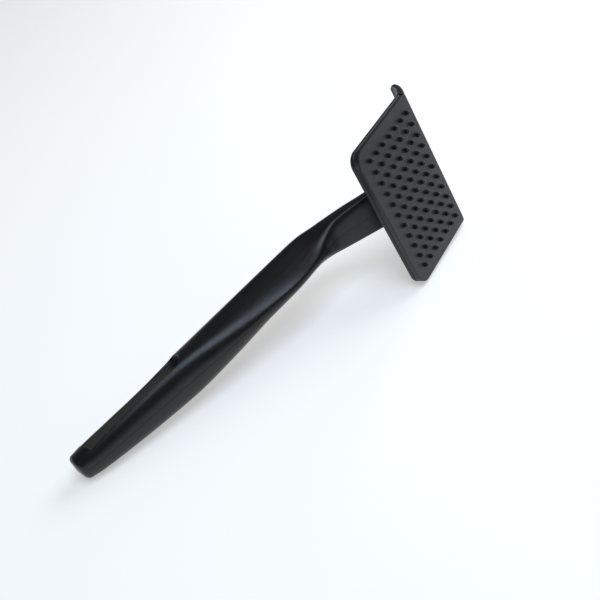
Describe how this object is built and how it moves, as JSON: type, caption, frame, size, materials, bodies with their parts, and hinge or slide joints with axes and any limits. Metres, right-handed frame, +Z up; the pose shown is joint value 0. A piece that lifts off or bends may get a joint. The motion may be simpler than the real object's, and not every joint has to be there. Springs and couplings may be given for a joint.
{
  "type": "stud brush",
  "caption": "Hand tool with a rectangular plate of short round-ended studs, a bent scraping lip on the far edge and an angled two-half handle with side pockets.",
  "frame": {"origin": "middle of the bounding box on the surface that the tool lies on", "axes": "+Z up, with the tool lying on its right side; +X level, from the butt of the handle toward the lip; the stud face looks along -Y and a little up"},
  "size_m": [0.2124, 0.093, 0.0746],
  "materials": {
    "head_plastic": "satin moulded polypropylene, near black",
    "stud_plastic": "darker, smoother moulded studs",
    "handle_plastic": "satin-gloss moulded polypropylene, black with a blue sheen",
    "strap_plastic": "glass-filled nylon strap, as moulded"
  },
  "bodies": {
    "root": {"face_plate": "head_plastic", "back_plate": "head_plastic", "stud_strip_1": "stud_plastic", "stud_strip_2": "stud_plastic", "stud_strip_3": "stud_plastic", "stud_strip_4": "stud_plastic", "stud_strip_5": "stud_plastic", "stud_strip_6": "stud_plastic", "stud_strip_7": "stud_plastic", "handle_half_left": "handle_plastic", "handle_half_right": "handle_plastic", "stiffening_strap": "strap_plastic"}
  },
  "joints": []
}
